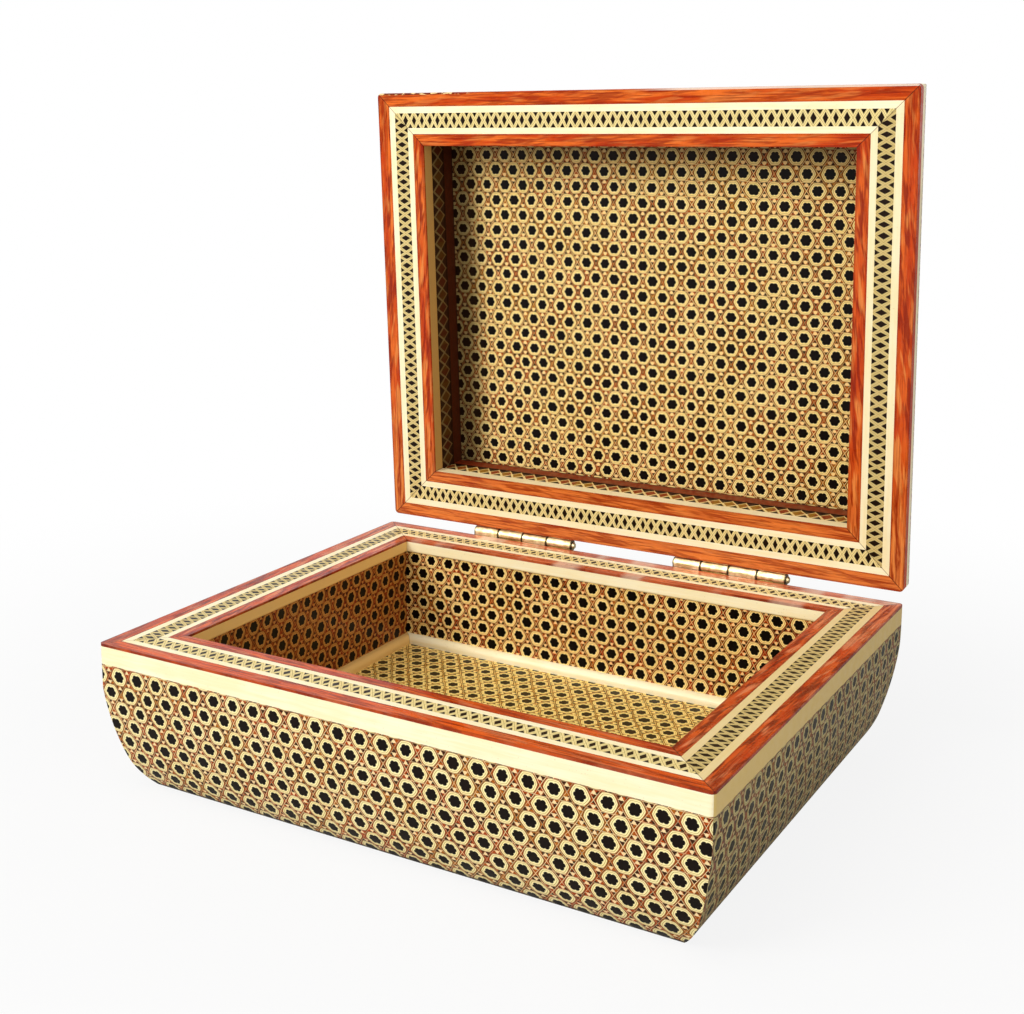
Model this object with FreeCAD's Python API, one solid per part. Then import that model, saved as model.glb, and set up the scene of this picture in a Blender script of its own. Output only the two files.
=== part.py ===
import FreeCAD, Part
import math
import os
from FreeCAD import Vector

os.makedirs("parts", exist_ok=True)

# A lidded box veneered with geometric marquetry. Millimetres, +Z up, +X along the front, +Y to
# the hinged back, origin at the centre of the underside. The lid is built closed and swung open.

# Overall sizes
box_width = 200.0
box_depth = 164.0
base_height = 48.0
corner_radius = 1.5

# The outside of the base: upright under the rim, then two arcs that draw in to the foot
base_upright = 4.5
knee_height = 11.2
knee_inset = 4.8
foot_inset = 11.4

# The lid: a little smaller than the base at the front and sides, with one arc up to the top
lid_reveal = 0.5
lid_height = 26.0
lid_upright = 2.5
lid_top_inset = 13.5
rim_gap = 0.4
open_angle = 87.0

# Inlay on both rims, from the outside in
rim_layer = 0.8
outer_strip_width = 4.9
outer_line_width = 2.4
lattice_width = 5.4
inner_line_width = 2.2
inner_strip_width = 4.3

# Skins and bands
veneer_thickness = 1.2
mitre_gap = 0.02
base_band_height = 6.5
lid_band_height = 6.0

# Inside of the base
lining_thickness = 1.0
inner_band_thickness = 1.8
inner_band_height = 4.8
inner_band_round = 0.7
floor_depth = 40.4
floor_panel_thickness = 1.2
skirting_width = 3.0
skirting_height = 3.2
skirting_round = 2.2

# Inside of the lid
lid_inner_band_height = 6.2
lid_lining_height = 8.6
bead_height = 6.5
bead_thickness = 1.2
ceiling_panel_thickness = 1.2

# Top of the lid
top_strip_width = 4.9
top_line_width = 2.4

# Hinges
hinge_length = 41.0
left_hinge_x = -42.0
right_hinge_x = 39.5
knuckle_count = 4
knuckle_gap = 0.3
barrel_radius = 2.0
barrel_clearance = 0.3
hinge_rise = 1.0
pin_radius = 0.9
pin_fit = 0.05
pin_head_length = 0.6
pin_head_spread = 0.5
leaf_thickness = 0.8
leaf_height = 10.0
leaf_relief = 0.5
neck_lap = 1.0
heel_reach = 4.2
heel_clearance = 0.3
heel_root = 1.0

# Hinge screws
screw_head_radius = 1.5
screw_head_height = 0.6
screw_radius = 0.8
screw_length = 6.5
screw_slot_width = 0.4
screw_slot_depth = 0.3
screw_spacing = 24.0
base_screw_drop = 6.0
lid_screw_rise = 6.6

# Sizes worked out from those above
half_x = box_width / 2
half_y = box_depth / 2
rim_width = (
    outer_strip_width + outer_line_width + lattice_width + inner_line_width + inner_strip_width
)
wall_inset = rim_width - inner_band_thickness
lid_half_x = half_x - lid_reveal
lid_half_y = half_y - lid_reveal / 2
lid_centre_y = lid_reveal / 2
lid_rim_z = base_height + rim_gap
axis_y = half_y + barrel_clearance + barrel_radius
axis_z = base_height + hinge_rise
recess_depth = lid_inner_band_height + lid_lining_height + bead_height
reach = box_width + box_depth
SIDES = ("front", "back", "left", "right")
NEAR = 0.01


def arc_chain(half, rows):
    """Arcs that run tangent from an upright line at s = half through points (height, inset).

    Heights are measured away from the rim. Each arc is (centre, radius, first angle, last angle),
    where the angle is that of the outward normal.
    """
    arcs = []
    angle = 0.0
    start = (half, rows[0][0])
    for height, inset in rows[1:]:
        step = (half - inset - start[0], height - start[1])
        normal = (math.cos(angle), math.sin(angle))
        along = step[0] * normal[0] + step[1] * normal[1]
        radius = -(step[0] ** 2 + step[1] ** 2) / (2 * along)
        centre = (start[0] - radius * normal[0], start[1] - radius * normal[1])
        start = (half - inset, height)
        last = math.atan2(start[1] - centre[1], start[0] - centre[0])
        arcs.append((centre, radius, angle, last))
        angle = last
    return arcs


def side_path(half, rows, deep, offset):
    """One side of a curved outline down to deep, set inward by offset.

    Lines are 2 points and arcs 3, each (distance from the middle, distance from the rim).
    """
    arcs = arc_chain(half, rows)
    path = [[(half - offset, 0.0), (half - offset, rows[0][0])]]
    for number, (centre, radius, first, last) in enumerate(arcs):
        r = radius - offset
        if number == len(arcs) - 1:
            last = math.asin((deep - centre[1]) / r)
        middle = (first + last) / 2
        path.append(
            [(centre[0] + r * math.cos(a), centre[1] + r * math.sin(a)) for a in (first, middle, last)]
        )
    return path


def edge_through(points):
    if len(points) == 2:
        return Part.makeLine(points[0], points[1])
    return Part.Arc(points[0], points[1], points[2]).toShape()


def prism(path, place, travel):
    """Extrude the outline of path and its mirror image; place(s, h) puts a point in space."""
    edges = []
    for sign in (1, -1):
        for points in path:
            edges.append(edge_through([place(sign * s, h) for s, h in points]))
    for s, h in (path[0][0], path[-1][-1]):
        edges.append(Part.makeLine(place(s, h), place(-s, h)))
    wire = Part.Wire(Part.__sortEdges__(edges))
    return Part.Face(wire).extrude(travel)


def cross_prism(path_x, path_y, centre_y, z_of):
    """The solid whose outline is path_x seen from the front and path_y seen from the side."""
    from_front = prism(path_x, lambda s, h: Vector(s, -reach, z_of(h)), Vector(0, 2 * reach, 0))
    from_side = prism(
        path_y, lambda s, h: Vector(-reach, centre_y + s, z_of(h)), Vector(2 * reach, 0, 0)
    )
    return from_front.common(from_side)


def block(x0, x1, y0, y1, z0, z1):
    return Part.makeBox(x1 - x0, y1 - y0, z1 - z0, Vector(x0, y0, z0))


class Outline:
    """The plan and side shape of the base or the lid, and the solids cut from it."""

    def __init__(self, half_width, half_depth, centre_y, rows, total, rim_z, up):
        self.hx = half_width
        self.hy = half_depth
        self.cy = centre_y
        self.rows = rows
        self.total = total
        self.rim_z = rim_z
        self.up = up

    def z(self, height):
        return self.rim_z + self.up * height

    def solid(self, offset, first, last):
        """The curved form set inward by offset, between two distances from the rim plane."""
        deep = last if last > self.rows[-2][0] else self.total
        form = cross_prism(
            side_path(self.hx, self.rows, deep, offset),
            side_path(self.hy, self.rows, deep, offset),
            self.cy,
            self.z,
        )
        return form.common(self.rounded_block(offset, first, last))

    def side_form(self, offset):
        """The outline seen from the side, set inward by offset and run along the whole width."""
        path = side_path(self.hy, self.rows, self.total, offset)
        return prism(path, lambda s, h: Vector(-reach, self.cy + s, self.z(h)), Vector(2 * reach, 0, 0))

    def rounded_block(self, offset, first, last):
        shape = self.box(offset, first, last)
        radius = corner_radius - offset
        upright = [edge for edge in shape.Edges if edge.BoundBox.ZLength > NEAR]
        return shape.makeFillet(radius, upright)

    def box(self, inset, first, last):
        """A square-cornered block inset from the outline."""
        low, high = sorted((self.z(first), self.z(last)))
        x, y = self.hx - inset, self.hy - inset
        return block(-x, x, self.cy - y, self.cy + y, low, high)

    def frame(self, outer, inner, first, last):
        return self.box(outer, first, last).cut(self.box(inner, first, last))

    def wedge(self, side):
        """The share of the plan that belongs to one side, bounded by the mitre lines.

        Each mitre line is moved into the side by half of the gap.
        """
        half, across = (self.hx, self.hy) if side in ("front", "back") else (self.hy, self.hx)
        deep = min(self.hx, self.hy) - corner_radius
        slant = mitre_gap / 2 * math.sqrt(2)
        sign = -1 if side in ("front", "left") else 1
        corners = [
            (-half - reach + slant, across + reach),
            (half + reach - slant, across + reach),
            (half - deep - slant, across - deep),
            (deep - half + slant, across - deep),
        ]
        if side in ("front", "back"):
            plan = [(along, sign * out) for along, out in corners]
        else:
            plan = [(sign * out, along) for along, out in corners]
        points = [Vector(px, self.cy + py, -reach) for px, py in plan]
        return Part.Face(Part.makePolygon(points + points[:1])).extrude(Vector(0, 0, 2 * reach))

    def mitred(self, ring):
        """Cut a ring into its four sides at the mitre lines."""
        return {side: ring.common(self.wedge(side)) for side in SIDES}

    def skin(self, first, last):
        return self.solid(0.0, first, last).cut(self.solid(veneer_thickness, first, last))

    def surface_point(self, height):
        """The point and outward normal of the back face at a distance from the rim plane."""
        if height <= self.rows[0][0]:
            return Vector(0, self.cy + self.hy, self.z(height)), Vector(0, 1, 0)
        centre, radius, first, last = arc_chain(self.hy, self.rows)[0]
        angle = math.asin((height - centre[1]) / radius)
        normal = Vector(0, math.cos(angle), self.up * math.sin(angle))
        centre_point = Vector(0, self.cy + centre[0], self.z(centre[1]))
        return centre_point + normal * radius, normal


base_rows = [
    (base_upright, 0.0),
    (base_height - knee_height, knee_inset),
    (base_height, foot_inset),
]
lid_rows = [(lid_upright, 0.0), (lid_height, lid_top_inset)]
base = Outline(half_x, half_y, 0.0, base_rows, base_height, base_height, -1)
lid = Outline(lid_half_x, lid_half_y, lid_centre_y, lid_rows, lid_height, lid_rim_z, 1)

parts = {}
lid_nodes = []


def group(shapes):
    """The solids of several shapes as one shape."""
    solids = [solid for shape in shapes for solid in shape.Solids]
    return solids[0] if len(solids) == 1 else Part.makeCompound(solids)


def add(name, *shapes):
    parts[name] = group(shapes)
    if name.startswith("lid_") or name.endswith("_lid_leaf"):
        lid_nodes.append(name)


def add_sides(prefix, ring_sides):
    """One node for each side."""
    for side in SIDES:
        add(prefix + "_" + side, ring_sides[side])


def add_ring(name, outline, ring):
    """One node that holds the four mitred strips of a ring."""
    sides = outline.mitred(ring)
    add(name, *[sides[side] for side in SIDES])


def make_rim(prefix, outline):
    """Red strip, bone line, lattice, bone line and red strip, laid on the rim from the outside in."""
    edge = outline.solid(0.0, 0.0, rim_layer)
    at = outer_strip_width
    add_ring(prefix + "_rim_outer_strip", outline, edge.cut(outline.box(at, 0.0, rim_layer)))
    for name, width in (
        ("_rim_outer_line", outer_line_width),
        ("_rim_lattice", lattice_width),
        ("_rim_inner_line", inner_line_width),
        ("_rim_inner_strip", inner_strip_width),
    ):
        add_ring(prefix + name, outline, outline.frame(at, at + width, 0.0, rim_layer))
        at += width


def inner_band(outline, height):
    """The bone band under the rim on the inside of a wall, rounded where it meets the lining."""
    band = outline.frame(wall_inset, rim_width, rim_layer, height)
    lower = outline.z(height)
    rounded = []
    for edge in band.Edges:
        middle = edge.CenterOfMass
        flat = edge.BoundBox.ZLength < NEAR and abs(middle.z - lower) < NEAR
        inside = (
            abs(middle.x) < outline.hx - rim_width + NEAR
            and abs(middle.y - outline.cy) < outline.hy - rim_width + NEAR
        )
        if flat and inside:
            rounded.append(edge)
    return band.makeFillet(inner_band_round, rounded)


def make_base():
    floor_top = base_height - floor_depth
    floor_drop = floor_depth + floor_panel_thickness
    core = base.solid(veneer_thickness, rim_layer, base_height)
    walls = base.mitred(core.cut(base.box(wall_inset, 0.0, base_height)))
    walls["back"] = walls["back"].cut(screw_bores("base"))
    add_sides("base_wall", walls)
    add("bottom_board", base.box(wall_inset, floor_drop, base_height))
    add("floor_panel", base.box(wall_inset, floor_depth, floor_drop))
    veneer = base.mitred(base.skin(base_band_height, base_height))
    veneer["back"] = veneer["back"].cut(screw_bores("base"))
    add_sides("base_veneer", veneer)
    band = base.mitred(base.skin(rim_layer, base_band_height))
    band["back"] = band["back"].cut(screw_bores("base"))
    add("base_band", *[band[side] for side in SIDES])
    make_rim("base", base)
    add_ring("base_inner_band", base, inner_band(base, inner_band_height))
    face = wall_inset + lining_thickness
    add_sides("base_lining", base.mitred(base.frame(wall_inset, face, inner_band_height, floor_depth)))
    add_ring("base_skirting", base, skirting(face, floor_top))


def skirting(face, floor_top):
    """A rounded strip in the angle between the lining and the floor."""
    def hollow(half):
        foot = half - face - skirting_width
        bend = skirting_height - skirting_round
        middle = skirting_round * (1 - math.sqrt(0.5))
        return [
            [(foot, 0.0), (foot, bend)],
            [
                (foot, bend),
                (foot + middle, skirting_height - middle),
                (foot + skirting_round, skirting_height),
            ],
        ]

    def rise(height):
        return floor_top + height

    solid = base.box(face, floor_depth - skirting_height, floor_depth)
    return solid.cut(cross_prism(hollow(base.hx), hollow(base.hy), base.cy, rise))


def make_lid():
    top_layer = lid_height - veneer_thickness
    board_under = recess_depth + ceiling_panel_thickness
    core = lid.solid(veneer_thickness, rim_layer, board_under)
    walls = lid.mitred(core.cut(lid.box(wall_inset, 0.0, board_under)))
    walls["back"] = walls["back"].cut(screw_bores("lid"))
    add_sides("lid_wall", walls)
    add("lid_top_board", lid.solid(veneer_thickness, board_under, top_layer))
    add("lid_ceiling_panel", lid.box(wall_inset, recess_depth, board_under))
    veneer = lid.mitred(lid.skin(lid_band_height, top_layer))
    veneer["back"] = veneer["back"].cut(screw_bores("lid"))
    add_sides("lid_veneer", veneer)
    band = lid.mitred(lid.skin(rim_layer, lid_band_height))
    band["back"] = band["back"].cut(screw_bores("lid"))
    add("lid_band", *[band[side] for side in SIDES])
    make_rim("lid", lid)
    make_lid_recess()
    make_lid_top(top_layer)


def make_lid_recess():
    """Bone band, zigzag strip and red bead, one above the other round the recess."""
    add_ring("lid_inner_band", lid, inner_band(lid, lid_inner_band_height))
    at = lid_inner_band_height
    for name, height, thickness in (
        ("lid_lining", lid_lining_height, lining_thickness),
        ("lid_inner_bead", bead_height, bead_thickness),
    ):
        add_ring(name, lid, lid.frame(wall_inset, wall_inset + thickness, at, at + height))
        at += height


def make_lid_top(top_layer):
    """Red strip, bone line and panel on the flat top."""
    edge = lid.solid(0.0, top_layer, lid_height)
    at = lid_top_inset + top_strip_width
    add_ring("lid_top_strip", lid, edge.cut(lid.box(at, top_layer, lid_height)))
    add_ring("lid_top_line", lid, lid.frame(at, at + top_line_width, top_layer, lid_height))
    add("lid_top_panel", lid.box(at + top_line_width, top_layer, lid_height))


def screw_places(owner):
    """Each hinge screw's point on the back face, with the outward normal there."""
    outline, height = (base, base_screw_drop) if owner == "base" else (lid, lid_screw_rise)
    point, normal = outline.surface_point(height)
    places = []
    for centre in (left_hinge_x, right_hinge_x):
        for side in (-1, 1):
            x = centre + side * screw_spacing / 2
            places.append((Vector(x, point.y, point.z), normal))
    return places


def screw_bores(owner):
    bores = [
        Part.makeCylinder(screw_radius, screw_length, at + n * leaf_thickness, n * -1)
        for at, n in screw_places(owner)
    ]
    return Part.makeCompound(bores)


def countersinks(owner):
    """Tools for the holes in the leaves: a cone like the screw's head over a straight bore."""
    wide = 2 * screw_head_radius - screw_radius
    tools = []
    for at, n in screw_places(owner):
        cone = Part.makeCone(
            wide, screw_radius, 2 * screw_head_height, at + n * (leaf_thickness + screw_head_height), n * -1
        )
        bore = Part.makeCylinder(screw_radius, screw_length, at + n * leaf_thickness, n * -1)
        tools.append(cone.fuse(bore))
    return tools


def screws(owner):
    """Slotted countersunk screws, flush with the outside of the leaf."""
    made = []
    for at, n in screw_places(owner):
        top = at + n * leaf_thickness
        head = Part.makeCone(screw_head_radius, screw_radius, screw_head_height, top, n * -1)
        shank = Part.makeCylinder(screw_radius, screw_length, top, n * -1)
        slot = Part.makeBox(2 * screw_head_radius, screw_slot_width, screw_slot_depth)
        slot.translate(Vector(-screw_head_radius, -screw_slot_width / 2, -screw_slot_depth))
        slot.Placement = FreeCAD.Placement(top, FreeCAD.Rotation(Vector(0, 0, 1), n)).multiply(
            slot.Placement
        )
        made.append(head.fuse(shank).cut(slot).removeSplitter())
    return made


def knuckle_spans(centre, owner):
    """Start and length of each knuckle of one leaf: the base takes the odd ones."""
    length = (hinge_length - (knuckle_count - 1) * knuckle_gap) / knuckle_count
    start = centre - hinge_length / 2
    first = 0 if owner == "base" else 1
    return [
        (start + number * (length + knuckle_gap), length)
        for number in range(first, knuckle_count, 2)
    ]


def leaf_plate(outline, centre, low, high):
    """A strip of brass that follows the back face between two heights."""
    shell = outline.side_form(-leaf_thickness).cut(outline.side_form(0.0))
    x0, x1 = centre - hinge_length / 2, centre + hinge_length / 2
    return shell.common(block(x0, x1, 0.0, reach, low, high))


def make_leaf(owner, centre):
    """One leaf with its knuckles; the base leaf also carries the heels that stop the lid."""
    outline = base if owner == "base" else lid
    clear = barrel_radius + leaf_relief
    lap = clear + neck_lap
    root = barrel_clearance + half_y
    if owner == "base":
        shape = leaf_plate(outline, centre, base_height - leaf_height, axis_z - clear)
    else:
        shape = leaf_plate(outline, centre, axis_z + clear, lid_rim_z + leaf_height)
    for tool in countersinks(owner):
        shape = shape.cut(tool)
    bore = pin_radius if owner == "base" else pin_radius + pin_fit
    for start, length in knuckle_spans(centre, owner):
        barrel = Part.makeCylinder(
            barrel_radius, length, Vector(start, axis_y, axis_z), Vector(1, 0, 0)
        )
        if owner == "base":
            neck = block(start, start + length, root, root + leaf_thickness, axis_z - lap, axis_z)
            top = axis_z + barrel_radius + barrel_clearance - leaf_thickness - heel_clearance
            heel = block(
                start, start + length, axis_y, axis_y + heel_reach, axis_z - heel_root, top
            )
            shape = shape.fuse([barrel, neck, heel])
        else:
            neck = block(start, start + length, half_y, half_y + leaf_thickness, axis_z, axis_z + lap)
            shape = shape.fuse([barrel, neck.cut(lid.side_form(0.0))])
        hole_start = Vector(start - knuckle_gap, axis_y, axis_z)
        hole = Part.makeCylinder(bore, length + 2 * knuckle_gap, hole_start, Vector(1, 0, 0))
        shape = shape.cut(hole)
    return shape.removeSplitter()


def make_pin(centre):
    """A plain pin with its ends spread into low heads, one of them clear of the lid's knuckle."""
    length = hinge_length + knuckle_gap
    start = Vector(centre - hinge_length / 2 - pin_head_length, axis_y, axis_z)
    pin = Part.makeCylinder(pin_radius, length + 2 * pin_head_length, start, Vector(1, 0, 0))
    head = pin_radius + pin_head_spread
    first = Part.makeCone(pin_radius, head, pin_head_length, start, Vector(1, 0, 0))
    last_start = Vector(start.x + pin_head_length + length, axis_y, axis_z)
    last = Part.makeCone(head, pin_radius, pin_head_length, last_start, Vector(1, 0, 0))
    return pin.fuse([first, last])


def make_hinges():
    for side, centre in (("left", left_hinge_x), ("right", right_hinge_x)):
        add("hinge_" + side + "_base_leaf", make_leaf("base", centre))
        add("hinge_" + side + "_lid_leaf", make_leaf("lid", centre))
        add("hinge_" + side + "_pin", make_pin(centre))
    add("base_hinge_screws", *screws("base"))
    add("lid_hinge_screws", *screws("lid"))


make_base()
make_lid()
make_hinges()

for node in lid_nodes:
    parts[node].rotate(Vector(0, axis_y, axis_z), Vector(1, 0, 0), -open_angle)

for node, shape in parts.items():
    shape.exportStep("parts/" + node + ".step")
    print(node, len(shape.Solids), round(shape.Volume, 1), shape.isValid())
print(len(parts), "nodes")
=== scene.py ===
"""A hinged keepsake box in hexagon inlay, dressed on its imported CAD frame."""

import logging
import math
from dataclasses import dataclass, field
from enum import Enum
from typing import Dict, List, Sequence, Tuple, Union

import bpy
from mathutils import Matrix, Vector

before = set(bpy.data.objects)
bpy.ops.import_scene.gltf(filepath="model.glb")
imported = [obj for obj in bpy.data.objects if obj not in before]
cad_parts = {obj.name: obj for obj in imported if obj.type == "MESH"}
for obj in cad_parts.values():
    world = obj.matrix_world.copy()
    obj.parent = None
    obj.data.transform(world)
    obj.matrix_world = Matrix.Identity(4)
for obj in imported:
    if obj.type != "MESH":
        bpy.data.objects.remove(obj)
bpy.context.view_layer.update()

LOG = logging.getLogger("keepsake_box")

Socket = bpy.types.NodeSocket
Node = bpy.types.Node
Tree = bpy.types.NodeTree
Material = bpy.types.Material
Value = Union[float, Sequence[float], Socket]
Colour = Tuple[float, float, float, float]
Triple = Tuple[float, float, float]

IMAGE_WIDTH = 1024.0
IMAGE_HEIGHT = 1014.0
MM = 1000.0


def srgb(red: int, green: int, blue: int) -> Colour:
    """Turns a colour as seen on screen into the shader's linear one.

    Args:
        red: Red, 0 to 255.
        green: Green, 0 to 255.
        blue: Blue, 0 to 255.

    Returns:
        The linear colour with alpha 1.
    """

    def linear(level: int) -> float:
        share = level / 255.0
        return share / 12.92 if share <= 0.04045 else ((share + 0.055) / 1.055) ** 2.4

    return (linear(red), linear(green), linear(blue), 1.0)


class Owner(Enum):
    """The body a surface belongs to, which sets its texture coordinates."""

    BASE = "base"
    LID = "lid"


class Form(Enum):
    """How a surface's second coordinate runs, in millimetres."""

    RIM = "in from the outline across the rim"
    WALL = "down from the rim on an upright face"
    BASE_CURVE = "down from the rim along the base's curved side"
    LID_CURVE = "up from the rim along the lid's curved side"
    FLAT = "across a level panel"


@dataclass(frozen=True)
class Outline:
    """Half sizes and middle of a body's outline, in millimetres."""

    half_x: float
    half_y: float
    middle_y: float


@dataclass(frozen=True)
class Inlay:
    """Colours and pitch of the hexagon inlay."""

    pitch: float = 7.47
    row: float = 5.6
    core: Colour = srgb(18, 9, 4)
    bone: Colour = srgb(254, 240, 184)
    honey: Colour = srgb(255, 232, 150)
    wire: Colour = srgb(176, 156, 78)
    blush: Colour = srgb(253, 222, 168)
    red: Colour = srgb(188, 66, 14)
    brown: Colour = srgb(60, 25, 5)
    gold: Colour = srgb(196, 136, 34)


@dataclass(frozen=True)
class Lacquer:
    """Gloss of a lacquered surface."""

    roughness: float = 0.36
    coat: float = 0.06
    coat_roughness: float = 0.12
    relief: float = 0.12
    specular: float = 0.08


@dataclass(frozen=True)
class Brass:
    """Colours of worn brass."""

    bright: Colour = srgb(250, 238, 192)
    dull: Colour = srgb(196, 168, 104)
    scratch: Colour = srgb(140, 108, 60)
    joint: Colour = srgb(40, 24, 10)


OUTLINES: Dict[Owner, Outline] = {
    Owner.BASE: Outline(100.0, 82.0, 0.0),
    Owner.LID: Outline(99.5, 81.75, 0.25),
}
RIM_HEIGHT = 48.0
LID_RIM_HEIGHT = 48.4
HINGE_Y = 84.3
HINGE_Z = 49.0
OPEN_ANGLE = 87.0
HINGE_STARTS: Dict[str, float] = {"left": -62.5, "right": 19.0}
KNUCKLE_PITCH = 10.25
SCREW_START = 500.0
SIDES = ("front", "back", "left", "right")
CLEAR = (1.0, 1.0, 1.0)
WHITE = (1.0, 1.0, 1.0, 1.0)

# Sine of 60 degrees, from which the hexagons are drawn.
SLANT = 0.866

# Where the courses lie, in from the outline and in depth, in millimetres.
OUTER_STRIP = (0.0, 4.9)
LATTICE_START = 7.3
LATTICE_WIDTH = 5.4
INNER_STRIP = (14.9, 19.2)
ZIGZAG_START = 6.2
ZIGZAG_WIDTH = 12.2
FRONT_EDGE = -80.9
CEILING_LIMIT = 72.0

# Height of the relief, in metres.
LACQUER_RELIEF = 0.0004
BRASS_RELIEF = 0.0003

CURVES: Dict[Form, Dict[str, float]] = {
    Form.BASE_CURVE: {"Upright": 4.5, "Radius": 111.1, "Knee": 36.8, "Turn": 0.295, "Foot Radius": 27.6},
    Form.LID_CURVE: {"Upright": 2.5, "Radius": 27.2, "Knee": 60.0, "Turn": 0.0, "Foot Radius": 27.2},
}

# Light, middle and dark tone, and the tone near the hinges.
LID_WOOD = (srgb(232, 112, 38), srgb(198, 66, 12), srgb(136, 30, 2), srgb(232, 138, 66))
BASE_WOOD = (srgb(226, 100, 36), srgb(190, 60, 14), srgb(112, 24, 6), srgb(226, 132, 86))
CARCASE_WOOD = (srgb(158, 112, 66), srgb(134, 90, 50), srgb(96, 60, 32))


class Graph:
    """Adds nodes to one shader tree."""

    def __init__(self, tree: Tree) -> None:
        """Starts on a tree.

        Args:
            tree: The tree that receives the nodes.
        """
        self.tree = tree

    def node(self, kind: str, **settings: object) -> Node:
        """Adds a node.

        Args:
            kind: Blender's name of the node type.
            **settings: Attributes set on it.

        Returns:
            The new node.
        """
        made = self.tree.nodes.new(kind)
        for name, value in settings.items():
            setattr(made, name, value)
        return made

    def feed(self, socket: Socket, value: Value) -> None:
        """Links a socket, or sets it.

        Args:
            socket: The input.
            value: A socket to link from, or a constant.
        """
        if isinstance(value, Socket):
            self.tree.links.new(value, socket)
        else:
            socket.default_value = value

    def math(self, operation: str, *values: Value) -> Socket:
        """Adds a Math node.

        Args:
            operation: Its operation.
            *values: Its inputs.

        Returns:
            The result.
        """
        made = self.node("ShaderNodeMath", operation=operation)
        for socket, value in zip(made.inputs, values):
            self.feed(socket, value)
        return made.outputs[0]

    def times(self, *values: Value) -> Socket:
        """Multiplies two numbers."""
        return self.math("MULTIPLY", *values)

    def plus(self, *values: Value) -> Socket:
        """Adds two numbers."""
        return self.math("ADD", *values)

    def minus(self, *values: Value) -> Socket:
        """Takes the second number from the first."""
        return self.math("SUBTRACT", *values)

    def over(self, *values: Value) -> Socket:
        """Divides the first number by the second."""
        return self.math("DIVIDE", *values)

    def most(self, *values: Value) -> Socket:
        """Gives the larger of two numbers."""
        return self.math("MAXIMUM", *values)

    def vector(self, operation: str, *values: Value) -> Socket:
        """Adds a Vector Math node.

        Args:
            operation: Its operation.
            *values: Its vector inputs; a last plain float is the scale.

        Returns:
            The resulting vector.
        """
        made = self.node("ShaderNodeVectorMath", operation=operation)
        for index, value in enumerate(values):
            if operation == "SCALE" and index == 1:
                self.feed(made.inputs["Scale"], value)
            else:
                self.feed(made.inputs[index], value)
        return made.outputs[0]

    def combine(self, x: Value = 0.0, y: Value = 0.0, z: Value = 0.0) -> Socket:
        """Joins three numbers.

        Args:
            x: First number.
            y: Second number.
            z: Third number.

        Returns:
            The vector.
        """
        made = self.node("ShaderNodeCombineXYZ")
        for socket, value in zip(made.inputs, (x, y, z)):
            self.feed(socket, value)
        return made.outputs[0]

    def split(self, vector: Socket) -> Tuple[Socket, Socket, Socket]:
        """Parts a vector.

        Args:
            vector: The vector.

        Returns:
            Its three numbers.
        """
        made = self.node("ShaderNodeSeparateXYZ")
        self.feed(made.inputs[0], vector)
        return made.outputs[0], made.outputs[1], made.outputs[2]

    def mix(self, share: Value, first: Value, second: Value) -> Socket:
        """Blends two colours.

        Args:
            share: Share of the second, 0 to 1.
            first: First colour.
            second: Second colour.

        Returns:
            The blend.
        """
        made = self.node("ShaderNodeMix", data_type="RGBA", clamp_factor=True)
        self.feed(made.inputs[0], share)
        self.feed(made.inputs[6], first)
        self.feed(made.inputs[7], second)
        return made.outputs[2]

    def pick(self, share: Value, first: Value, second: Value) -> Socket:
        """Blends two numbers.

        Args:
            share: Share of the second, 0 to 1.
            first: First number.
            second: Second number.

        Returns:
            The blend.
        """
        made = self.node("ShaderNodeMix", data_type="FLOAT", clamp_factor=True)
        self.feed(made.inputs[0], share)
        self.feed(made.inputs[2], first)
        self.feed(made.inputs[3], second)
        return made.outputs[0]

    def ramp(self, value: Value, low: Value, high: Value, bottom: float = 0.0, top: float = 1.0) -> Socket:
        """Maps a number smoothly between two bounds.

        Args:
            value: The number.
            low: Where the result is bottom.
            high: Where the result is top.
            bottom: Lowest result.
            top: Highest result.

        Returns:
            The mapped number.
        """
        made = self.node("ShaderNodeMapRange", interpolation_type="SMOOTHSTEP", clamp=True)
        for socket, entry in zip(made.inputs, (value, low, high, bottom, top)):
            self.feed(socket, entry)
        return made.outputs[0]

    def line(self, value: Value, centre: float, half: float, soft: float) -> Socket:
        """Masks a narrow range of a number.

        Args:
            value: The number.
            centre: Middle of the range.
            half: Half its width.
            soft: Width of its soft edge.

        Returns:
            1 inside, 0 outside.
        """
        away = self.math("ABSOLUTE", self.minus(value, centre))
        return self.ramp(away, half + soft, half - soft)

    def noise(self, vector: Value, scale: float, detail: float = 2.0, rough: float = 0.5) -> Socket:
        """Adds a noise texture.

        Args:
            vector: Where it is read.
            scale: Its scale.
            detail: Its octaves.
            rough: Its roughness.

        Returns:
            The value, about 0.3 to 0.7.
        """
        settings = {"Vector": vector, "Scale": scale, "Detail": detail, "Roughness": rough}
        return self.fill(self.node("ShaderNodeTexNoise"), settings).outputs[0]

    def fill(self, node: Node, inputs: Dict[str, Value]) -> Node:
        """Feeds a node's inputs.

        Args:
            node: The node.
            inputs: Its inputs by name.

        Returns:
            The node.
        """
        for name, value in inputs.items():
            self.feed(node.inputs[name], value)
        return node

    def call(self, group: Tree, **inputs: Value) -> Node:
        """Uses a node group.

        Args:
            group: The group.
            **inputs: Its inputs by name.

        Returns:
            The group's node.
        """
        return self.fill(self.node("ShaderNodeGroup", node_tree=group), inputs)


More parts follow.
